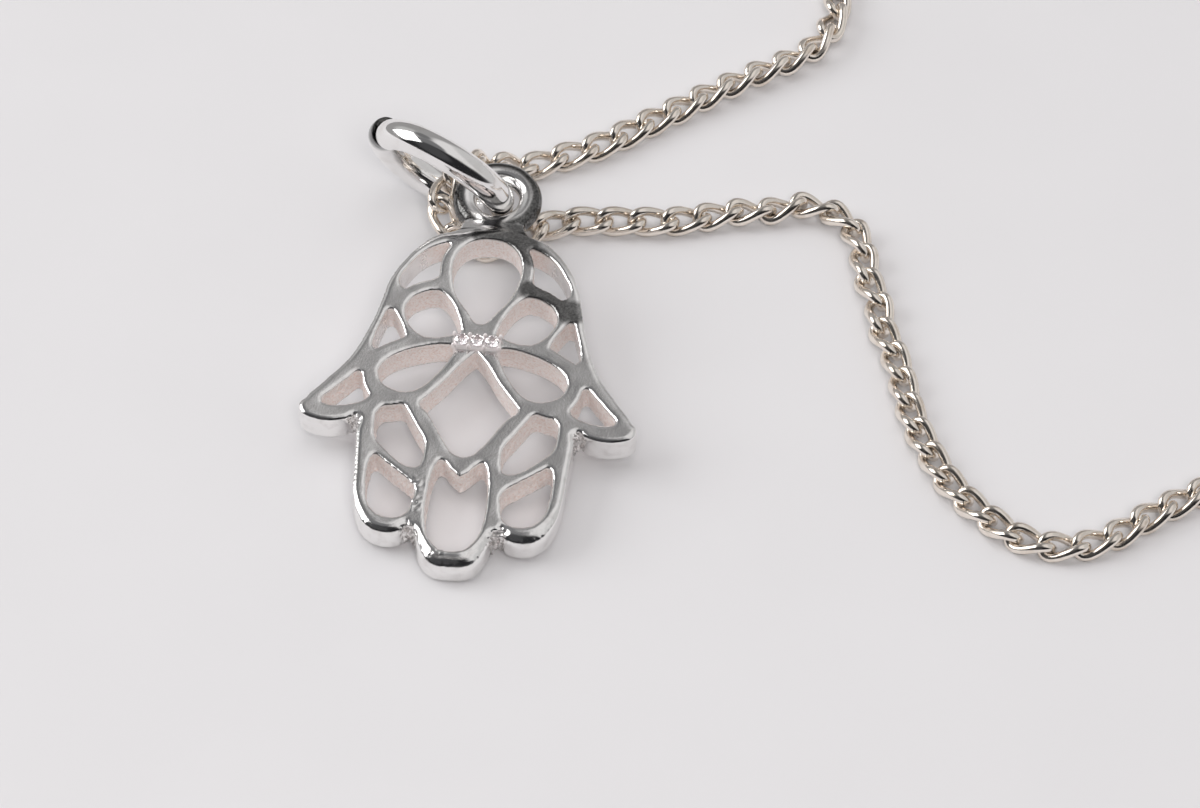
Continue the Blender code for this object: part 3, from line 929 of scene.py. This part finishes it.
class PENDANT_OT_stones(bpy.types.Operator):
    """Cut the three stones and sit them in their seats"""

    bl_idname = "pendant.stones"
    bl_label = "Stones"

    def execute(self, context):
        sizes = context.scene.pendant_sizes
        material = crystal()
        seat = sizes.plate_thickness / MM / 2 + GIRDLE_RISE
        for index, side in ((-1, "left"), (0, "middle"), (1, "right")):
            stone = cut_stone(sizes)
            across = index * stone_pitch(sizes)
            turn = Matrix.Rotation(math.radians(17.0 * index + 5.0), 4, "Z")
            place = Matrix.Translation((across, 0.0, seat)) @ turn
            placed(stone, PLATE_PLACE @ Matrix.Scale(MM, 4) @ place)
            finished(stone, f"brilliant_{side}", material, "clear_stone", f"stone_{side}")
        return {"FINISHED"}


# The jump ring lies more open than in the source and a little further forward. Its ends
# leave a gap and stand out of line, outward and along the ring's axis.
RING_LEAN = Matrix.Rotation(math.radians(-3.5), 4, "X")
RING_SHIFT = Matrix.Translation(Vector((0.0, -0.10, 0.07)) * MM)
RING_GAP = 0.12
END_REACH = math.radians(40.0)
LAST_END = (-0.04, 0.06)
FIRST_END = (0.10, 0.02)


def spring_open(ring, end):
    """Push the wire's two ends a little out of line with each other."""
    for vertex in ring.data.vertices:
        angle = math.atan2(vertex.co.y, vertex.co.x) % math.tau
        last = (angle - end + END_REACH) / END_REACH
        first = 1.0 - angle / END_REACH
        for share, (out, along) in ((last, LAST_END), (first, FIRST_END)):
            if 0.0 < share < 1.2:
                share = min(1.0, share) ** 2
                outward = Vector((vertex.co.x, vertex.co.y, 0.0)).normalized()
                vertex.co += share * (out * outward + Vector((0.0, 0.0, along)))


class PENDANT_OT_ring(bpy.types.Operator):
    """Spin the jump ring's wire and close its ends at a fine seam"""

    bl_idname = "pendant.ring"
    bl_label = "Jump Ring"

    seam: bpy.props.FloatProperty(
        name="Seam", description="Place of the seam round the ring",
        default=math.radians(137.0), subtype="ANGLE",
    )

    def execute(self, context):
        sizes = context.scene.pendant_sizes
        finish = context.scene.pendant_finish
        radius = sizes.ring_radius / MM
        wire = sizes.ring_wire / MM
        gap = RING_GAP / radius
        ring = added(
            bpy.ops.mesh.primitive_circle_add, vertices=32, radius=wire,
            fill_type="NOTHING", location=(radius, 0.0, 0.0),
            rotation=(math.radians(90.0), 0.0, 0.0),
        )
        apply_place(ring)
        bpy.ops.object.mode_set(mode="EDIT")
        bpy.ops.mesh.select_all(action="SELECT")
        bpy.ops.mesh.spin(
            steps=120, angle=math.tau - gap, center=(0.0, 0.0, 0.0), axis=(0.0, 0.0, 1.0)
        )
        bpy.ops.mesh.select_all(action="DESELECT")
        bpy.ops.mesh.select_non_manifold()
        bpy.ops.mesh.edge_face_add()
        bpy.ops.mesh.select_all(action="SELECT")
        bpy.ops.mesh.normals_make_consistent(inside=False)
        bpy.ops.object.mode_set(mode="OBJECT")
        soft = ring.modifiers.new("softened ends", "BEVEL")
        soft.limit_method = "ANGLE"
        soft.angle_limit = math.radians(60.0)
        soft.width = 0.07
        soft.segments = 4
        apply_modifiers(ring)
        spring_open(ring, math.tau - gap)
        # Paint shade along the seam and on the far end beyond it, as if in shadow
        add_mask(ring, SHADE_MASK, [ring_end_shade(vertex.co) for vertex in ring.data.vertices])
        turn = Matrix.Rotation(self.seam + gap / 2, 4, "Z")
        lean = RING_SHIFT @ RING_PLACE @ RING_LEAN
        placed(ring, lean @ Matrix.Scale(MM, 4) @ turn)
        smooth_faces(ring, 35.0)
        material = metal(
            "bright ring silver", finish.silver, (0.84, 0.82, 0.80), 0.05, 0.14, 1200.0,
            2e-6,
        )
        # The last colour is the painted shade for the seam and the ring's far end
        part_polished(material, (0.9, 0.9, 0.9), 0.3, 1.0, (0.05, 0.05, 0.05))
        finished(ring, "closed_ring", material, "ring_silver", "jump_ring")
        return {"FINISHED"}


def spaced(points):
    """The knots' places along a route, by the square root of each distance."""
    places = [0.0]
    for start, end in zip(points, points[1:]):
        places.append(places[-1] + math.sqrt((end - start).length))
    return places


def span_point(knots, places, at):
    """A point of the smooth curve between the middle two of four knots."""
    first = [
        knots[i].lerp(knots[i + 1], (at - places[i]) / (places[i + 1] - places[i]))
        for i in range(3)
    ]
    second = [
        first[i].lerp(first[i + 1], (at - places[i]) / (places[i + 2] - places[i]))
        for i in range(2)
    ]
    return second[0].lerp(second[1], (at - places[1]) / (places[2] - places[1]))


def smooth_route(points, samples=40):
    """Close points along a smooth curve through a route's points."""
    ends = [2 * points[0] - points[1], 2 * points[-1] - points[-2]]
    knots = [ends[0], *points, ends[1]]
    route = []
    for start in range(len(knots) - 3):
        four = knots[start:start + 4]
        places = spaced(four)
        for step in range(samples):
            at = places[1] + (places[2] - places[1]) * step / samples
            route.append(span_point(four, places, at))
    route.append(points[-1])
    return route


# A link in millimetres: how far its wire waves up and down, its slack on the next, and
# its clearance from the floor. The source's strand has this radius in its place.
LINK_RISE = 0.28
LINK_SLACK = 0.06
REST_GAP = 0.005
LIFT_GAP = 0.004
STRAND_RADIUS = 0.6

# How far the chain is rolled about its own line, in degrees, at places of its route
CHAIN_ROLL = (
    (15.3, 21.3, 0), (14.8, 19.1, 28), (10.2, 16.0, 22), (7.6, 14.4, 0),
    (5.4, 13.0, -15), (1.5, 11.4, -8), (-0.5, 10.2, 0), (-0.4, 7.2, 0), (3.6, 8.2, 30),
    (7.8, 8.5, 22), (10.5, 8.9, -15), (15.6, 8.2, -28), (16.5, 4.1, -10),
    (18.4, -4.1, 0),
)


def joint_rolls(joints):
    """Each joint's roll, turning smoothly from one set value to the next."""
    stations = []
    for x, y, degrees in CHAIN_ROLL:
        place = Vector((x, y)) + SHIFT.xy / MM
        nearest = min(range(len(joints)), key=lambda i: (joints[i].xy - place).length)
        stations.append((nearest, math.radians(degrees)))
    rolls = [0.0] * len(joints)
    for (start, first), (end, last) in zip(stations, stations[1:]):
        for number in range(start, end + 1):
            share = (number - start) / (end - start)
            share = share * share * (3.0 - 2.0 * share)
            rolls[number] = first + (last - first) * share
    return rolls


def link_half_width(sizes):
    return (sizes.link_width - sizes.link_wire) / MM / 2


def resting_height(sizes, roll):
    """Height of a link's middle when the rolled link rests on the floor."""
    highest = max(
        abs(link_half_width(sizes) * math.sin(turn) * math.sin(roll)
            - LINK_RISE * math.sin(2 * turn) * math.cos(roll))
        for turn in (math.tau * step / 72 for step in range(72))
    )
    return highest + sizes.link_wire / MM / 2 + REST_GAP


# From the clasp's middle to the first link, and how often bends past this are eased
CLASP_END = 5.3
EASING = 7
SOFT_BEND = math.radians(16.0)


def clasp_matrix():
    return Matrix.Translation(CLASP_PLACE / MM) @ Matrix.Rotation(CLASP_TURN, 4, "Z")


def chain_route(sizes):
    """The links' centre line in millimetres, resting on the floor and over the ring."""
    rest = resting_height(sizes, 0.0)
    drop = STRAND_RADIUS - rest
    clasp = clasp_matrix()
    points = [clasp @ Vector((-CLASP_END, 0.0, 0.0))]
    for x, y, *height in CHAIN_ROUTE:
        z = max(height[0] - drop, rest) if height else rest
        points.append(Vector((x, y, z)) + SHIFT / MM)
    points.append(clasp @ Vector((CLASP_END, 0.0, 0.0)))
    return smooth_route(points)


def halved(low, high, rounds, belongs_low):
    """Close in on where the test of the middle changes from true to false."""
    for _ in range(rounds):
        middle = (low + high) / 2
        if belongs_low(middle):
            low = middle
        else:
            high = middle
    return low, high


def joints_at(route, pitch):
    """Points at an equal straight distance from one to the next along a route."""
    joints = [route[0]]
    for before, here in zip(route, route[1:]):
        while (here - joints[-1]).length >= pitch:
            last = joints[-1]
            high = halved(
                0.0, 1.0, 20, lambda share: (before.lerp(here, share) - last).length < pitch
            )[1]
            joints.append(before.lerp(here, high))
    return joints


def eased(joints, pitch):
    """The joints moved a little to draw sharp bends rounder, at their distance again."""
    moved = [joint.copy() for joint in joints]
    for number in range(1, len(joints) - 1):
        before, here, after = joints[number - 1:number + 2]
        bend = (here - before).angle(after - here)
        share = clamped((bend - SOFT_BEND) / SOFT_BEND)
        moved[number] = here.lerp((before + after) / 2, 0.25 * share)
    for _ in range(30):
        for number in range(1, len(moved)):
            first, last = moved[number - 1:number + 1]
            miss = (last - first) * (0.5 - 0.5 * pitch / (last - first).length)
            if number > 1:
                first += miss
            if number < len(moved) - 1:
                last -= miss
    return moved


def chain_joints(sizes):
    """The places where link meets link, to the clasp's far eye, and their rolls."""
    route = chain_route(sizes)
    pitch = sizes.link_pitch / MM
    count = len(joints_at(route, pitch)) - 1
    pitch = halved(
        pitch * 0.99, pitch * 1.01, 24, lambda size: len(joints_at(route, size)) - 1 >= count
    )[0]
    joints = joints_at(route, pitch)
    joints[-1] = route[-1]
    for _ in range(EASING):
        joints = eased(joints, pitch)
    rolls = joint_rolls(joints)
    flat = resting_height(sizes, 0.0)
    for joint, roll in zip(joints[1:-1], rolls[1:-1]):
        joint.z = max(joint.z, joint.z + resting_height(sizes, roll) - flat)
    lift_links(sizes, joints, rolls)
    return joints, rolls


def link_matrix(start, end, roll):
    """A link's place between two joints, its flat side up but for its roll."""
    along = (end - start).normalized()
    up = Vector((0.0, 0.0, 1.0))
    side = up.cross(along).normalized()
    up = along.cross(side)
    axes = Matrix((along, side, up)).transposed().to_4x4()
    return Matrix.Translation((start + end) / 2) @ axes @ Matrix.Rotation(roll, 4, "X")


def link_point(sizes, turn):
    """A point of a link's centre line in the link's own frame."""
    half_length = (sizes.link_pitch + sizes.link_wire) / MM / 2 + LINK_SLACK / 2
    return Vector((
        half_length * math.cos(turn),
        link_half_width(sizes) * math.sin(turn),
        -LINK_RISE * math.sin(2 * turn),
    ))


def lift_links(sizes, joints, rolls):
    """Raise the joints of tilted and rolled links until none dips into the floor."""
    outline = [link_point(sizes, math.tau * step / 36) for step in range(36)]
    floor = sizes.link_wire / MM / 2 + LIFT_GAP
    for _ in range(4):
        for number in range(1, len(joints) - 2):
            first, last = joints[number:number + 2]
            place = link_matrix(first, last, (rolls[number] + rolls[number + 1]) / 2)
            dip = floor - min((place @ point).z for point in outline)
            if dip > 0.0:
                first.z += dip
                last.z += dip


def bent_wire(name, points, radius, resolution, closed):
    """A mesh of round wire along points, closed in a loop or capped."""
    curve = bpy.data.curves.new(name, "CURVE")
    curve.dimensions = "3D"
    curve.bevel_depth = radius
    curve.bevel_resolution = resolution
    curve.use_fill_caps = not closed
    spline = curve.splines.new("POLY")
    spline.points.add(len(points) - 1)
    for knot, point in zip(spline.points, points):
        knot.co = (*point, 1.0)
    spline.use_cyclic_u = closed
    return to_mesh(new_object(name, curve))


def curb_link(sizes, count, resolution):
    """One twisted link in millimetres, which lies flat with the next one through it."""
    points = [link_point(sizes, math.tau * (i + 0.5) / count) for i in range(count)]
    return bent_wire("curb link", points, sizes.link_wire / MM / 2, resolution, True)


def strung(link, places):
    """Copies of a link at the places, each with its own mesh, joined into one."""
    copies = []
    for place in places:
        copy = new_object("link", link.data.copy())
        copy.data.transform(place)
        copies.append(copy)
    bpy.data.objects.remove(link, do_unlink=True)
    return joined(copies)


# The stretch of chain in and near the photo's view, in millimetres from the flower, has
# finer links. Each kind has its points round the link and its wire's bevel resolution.
SEEN_ACROSS = (-8.0, 34.0)
SEEN_ALONG = (-14.0, 24.0)
FINE_LINK = (36, 4)
PLAIN_LINK = (12, 1)


class PENDANT_OT_chain(bpy.types.Operator):
    """String the curb chain link by link along its route"""

    bl_idname = "pendant.chain"
    bl_label = "Curb Chain"

    def execute(self, context):
        sizes = context.scene.pendant_sizes
        finish = context.scene.pendant_finish
        joints, rolls = chain_joints(sizes)
        places = [
            link_matrix(start, end, (first + last) / 2)
            for start, end, first, last in zip(joints, joints[1:], rolls, rolls[1:])
        ]
        middle = SHIFT / MM
        near = []
        far = []
        for place in places:
            away = place.translation - middle
            across = SEEN_ACROSS[0] < away.x < SEEN_ACROSS[1]
            along = SEEN_ALONG[0] < away.y < SEEN_ALONG[1]
            (near if across and along else far).append(place)
        material = metal(
            "warm chain silver", finish.chain_silver, (0.80, 0.70, 0.60), 0.12, 0.27,
            1500.0, 4e-6,
        )
        for name, detail, chosen in (
            ("front_links", FINE_LINK, near), ("back_links", PLAIN_LINK, far)
        ):
            links = strung(curb_link(sizes, *detail), chosen)
            placed(links, Matrix.Scale(MM, 4))
            links.data.shade_smooth()
            finished(links, name, material, "chain_silver", "chain")
        return {"FINISHED"}


# The clasp in millimetres and degrees: its ring's radius, its bars with their wire and
# first and last angle, and its stud's place with the radius, depth and distance of stem
# and head. Then its eye and joining link: radius, wire, distance, tilt and segments.
CLASP_RADIUS = 2.3
CLASP_BARS = (
    ("clasp body", 0.57, 112.0, 428.0),
    ("clasp bolt", 0.40, 66.0, 114.0),
    ("near collar", 0.6, 62.0, 68.0),
    ("far collar", 0.6, 112.0, 118.0),
)
STUD_PLACE = math.radians(124.0)
STUD_PARTS = ((0.16, 0.5, 2.85), (0.26, 0.2, 3.15))
END_RINGS = ((0.82, 0.2, 3.8, 0.0, 36, 16), (0.58, 0.14, 4.86, -40.0, 30, 12))


def arc_bar(name, wire, start, end):
    """A capped round bar bent along the clasp's ring, between two angles in degrees."""
    steps = max(2, round((end - start) / 4))
    points = []
    for index in range(steps + 1):
        turn = math.radians(start + (end - start) * index / steps)
        points.append((CLASP_RADIUS * math.cos(turn), CLASP_RADIUS * math.sin(turn), 0.0))
    return bent_wire(name, points, wire, 8, False)


class PENDANT_OT_clasp(bpy.types.Operator):
    """Model the sprung ring clasp with its bolt, thumb stud and two eyes"""

    bl_idname = "pendant.clasp"
    bl_label = "Clasp"

    def execute(self, context):
        finish = context.scene.pendant_finish
        parts = [arc_bar(*bar) for bar in CLASP_BARS]
        for radius, depth, reach in STUD_PARTS:
            stud = added(
                bpy.ops.mesh.primitive_cylinder_add, vertices=28, radius=radius,
                depth=depth, rotation=(0.0, math.radians(90.0), STUD_PLACE),
                location=(reach * math.cos(STUD_PLACE), reach * math.sin(STUD_PLACE), 0.0),
            )
            bevel = stud.modifiers.new("soft edge", "BEVEL")
            bevel.width = 0.05
            bevel.segments = 3
            bevel.limit_method = "ANGLE"
            apply_modifiers(stud)
            apply_place(stud)
            parts.append(stud)
        for sign in (-1, 1):
            for radius, wire, reach, tilt, around, sides in END_RINGS:
                parts.append(added(
                    bpy.ops.mesh.primitive_torus_add, major_radius=radius,
                    minor_radius=wire, major_segments=around, minor_segments=sides,
                    location=(sign * reach, 0.0, 0.0),
                    rotation=(math.radians(tilt * sign), 0.0, 0.0),
                ))
        clasp = joined(parts)
        placed(clasp, Matrix.Scale(MM, 4) @ clasp_matrix())
        smooth_faces(clasp, 35.0)
        material = metal(
            "bright clasp silver", finish.silver, (0.84, 0.82, 0.80), 0.06, 0.16, 1000.0,
            2e-6,
        )
        finished(clasp, "spring_clasp", material, "ring_silver", "clasp")
        return {"FINISHED"}


# The photo's view: half its angle across, its place and its tilt
VIEW_HALF_ANGLE = math.radians(6.0)
VIEW_PLACE = Vector((-58.158, -198.392, 179.41)) * MM
VIEW_TILT = math.radians(40.0)

# The lights: place from the pendant in metres, size, power, colour, and whether the
# metal mirrors them
LIGHTS = (
    ("key softbox", 0.6 * Vector((-0.81, 0.14, 0.575)), (0.46, 0.44), 1.8,
     (1.0, 1.0, 1.0), True),
    ("overhead softbox", Vector((-0.1, 0.05, 0.8)), (0.6, 0.6), 1.6,
     (1.0, 0.97, 0.965), False),
    ("front fill", Vector((0.06, -0.5, 0.62)), (0.35, 0.25), 2.3,
     (1.0, 0.965, 0.94), False),
)

# The room's cards: the way to each, the cosines where it starts and is full, and colour
ROOM_CARDS = (
    ((0.643, 0.0, 0.766), 0.64, 0.80, (0.72, 0.71, 0.71)),
    ((0.92, 0.30, 0.25), 0.72, 0.86, (0.55, 0.545, 0.545)),
    ((-0.6, 0.5, 0.62), 0.90, 0.98, (0.5, 0.5, 0.5)),
    ((-0.30, -0.2, 0.92), 0.88, 0.95, (0.17, 0.17, 0.175)),
    ((-0.25, 0.40, 0.88), 0.965, 0.99, (0.16, 0.16, 0.163)),
    ((0.5, -0.86, 0.1), 0.78, 0.90, (0.05, 0.05, 0.053)),
    ((-0.26, -0.97, 0.0), 0.28, 0.50, (0.02, 0.02, 0.022)),
    ((-0.45, -0.62, 0.64), 0.84, 0.95, (0.06, 0.06, 0.063)),
)


def area_light(name, place, aim, size, power, colour, mirrored_by_metal):
    """A soft light that faces a point."""
    light = bpy.data.lights.new(name, "AREA")
    light.shape = "RECTANGLE"
    light.size = size[0]
    light.size_y = size[1]
    light.energy = power
    light.color = colour
    obj = new_object(name, light)
    obj.location = place
    obj.rotation_euler = (aim - place).to_track_quat("-Z", "Y").to_euler()
    obj.visible_glossy = mirrored_by_metal


def room_card(tree, before, facing, edge, full, colour):
    """Mix a soft-edged card into the room's colour, round the direction that it faces."""
    nodes = tree.nodes
    place = nodes.new("ShaderNodeTexCoord")
    dot = add_node(
        nodes, "ShaderNodeVectorMath", {1: Vector(facing).normalized()},
        operation="DOT_PRODUCT",
    )
    span = add_node(
        nodes, "ShaderNodeMapRange", {"From Min": edge, "From Max": full},
        interpolation_type="SMOOTHSTEP",
    )
    mix = add_node(nodes, "ShaderNodeMix", {"B": (*colour, 1.0)}, data_type="RGBA")
    link_up(
        tree.links,
        (place, "Generated", dot, 0),
        (dot, "Value", span, "Value"),
        (span, "Result", mix, "Factor"),
    )
    tree.links.new(before, mix.inputs["A"])
    return mix.outputs["Result"]


def studio_world():
    """A soft grey room: pale to the right, dark in front of the hand."""
    world = bpy.data.worlds.new("soft studio")
    bpy.context.scene.world = world
    world.use_nodes = True
    tree = world.node_tree
    back = tree.nodes["Background"]
    back.inputs["Strength"].default_value = 1.0
    base = tree.nodes.new("ShaderNodeRGB")
    base.outputs[0].default_value = (0.31, 0.305, 0.305, 1.0)
    colour = base.outputs[0]
    for card in ROOM_CARDS:
        colour = room_card(tree, colour, *card)
    tree.links.new(colour, back.inputs["Color"])


class PENDANT_OT_stage(bpy.types.Operator):
    """Set up the pale floor, the soft lights and the camera"""

    bl_idname = "pendant.stage"
    bl_label = "Stage"

    def execute(self, context):
        finish = context.scene.pendant_finish
        floor = added(bpy.ops.mesh.primitive_plane_add, size=3.0)
        floor.name = "floor"
        material, nodes, links, shader = new_material("pale floor")
        shader.inputs["Roughness"].default_value = 0.75
        shader.inputs["Specular IOR Level"].default_value = 0.2
        place = nodes.new("ShaderNodeTexCoord")
        noise = add_node(nodes, "ShaderNodeTexNoise", {"Scale": 120.0})
        shade = [0.96 * value for value in finish.floor]
        mix = add_node(
            nodes, "ShaderNodeMix", {"A": (*finish.floor, 1.0), "B": (*shade, 1.0)},
            data_type="RGBA",
        )
        link_up(
            links,
            (place, "Object", noise, "Vector"),
            (noise, "Fac", mix, "Factor"),
            (mix, "Result", shader, "Base Color"),
        )
        floor.data.materials.append(material)
        middle = SHIFT + Vector((0.0, 0.0, 0.002))
        for name, place, *settings in LIGHTS:
            area_light(name, middle + place, middle, *settings)
        studio_world()
        camera = bpy.data.cameras.new("photo view")
        camera.sensor_width = 36.0
        camera.sensor_fit = "HORIZONTAL"
        camera.lens = 18.0 / math.tan(VIEW_HALF_ANGLE)
        camera.clip_start = 0.001
        camera.clip_end = 20.0
        view = new_object("photo view", camera)
        view.location = VIEW_PLACE
        view.rotation_euler = (VIEW_TILT, 0.0, 0.0)
        context.scene.camera = view
        context.scene.view_settings.view_transform = "Standard"
        return {"FINISHED"}


class PENDANT_PT_panel(bpy.types.Panel):
    """Buttons for the pendant's pieces"""

    bl_idname = "PENDANT_PT_panel"
    bl_label = "Hamsa Pendant"
    bl_space_type = "VIEW_3D"
    bl_region_type = "UI"
    bl_category = "Pendant"

    def draw(self, context):
        layout = self.layout
        for group in (context.scene.pendant_sizes, context.scene.pendant_finish):
            for name in group.bl_rna.properties.keys():
                if name not in {"rna_type", "name"}:
                    layout.prop(group, name)
        for operator in OPERATORS:
            layout.operator(operator.bl_idname)


OPERATORS = (
    PENDANT_OT_stage,
    PENDANT_OT_hand,
    PENDANT_OT_setting,
    PENDANT_OT_stones,
    PENDANT_OT_ring,
    PENDANT_OT_chain,
    PENDANT_OT_clasp,
)
CLASSES = (PendantSizes, PendantFinish, *OPERATORS, PENDANT_PT_panel)


def register():
    for cls in CLASSES:
        bpy.utils.register_class(cls)
    bpy.types.Scene.pendant_sizes = bpy.props.PointerProperty(type=PendantSizes)
    bpy.types.Scene.pendant_finish = bpy.props.PointerProperty(type=PendantFinish)


def unregister():
    del bpy.types.Scene.pendant_finish
    del bpy.types.Scene.pendant_sizes
    for cls in reversed(CLASSES):
        bpy.utils.unregister_class(cls)


def main():
    register()
    bpy.ops.pendant.stage()
    bpy.ops.pendant.hand()
    bpy.ops.pendant.setting()
    bpy.ops.pendant.stones()
    bpy.ops.pendant.ring()
    bpy.ops.pendant.chain()
    bpy.ops.pendant.clasp()


if __name__ == "__main__":
    main()
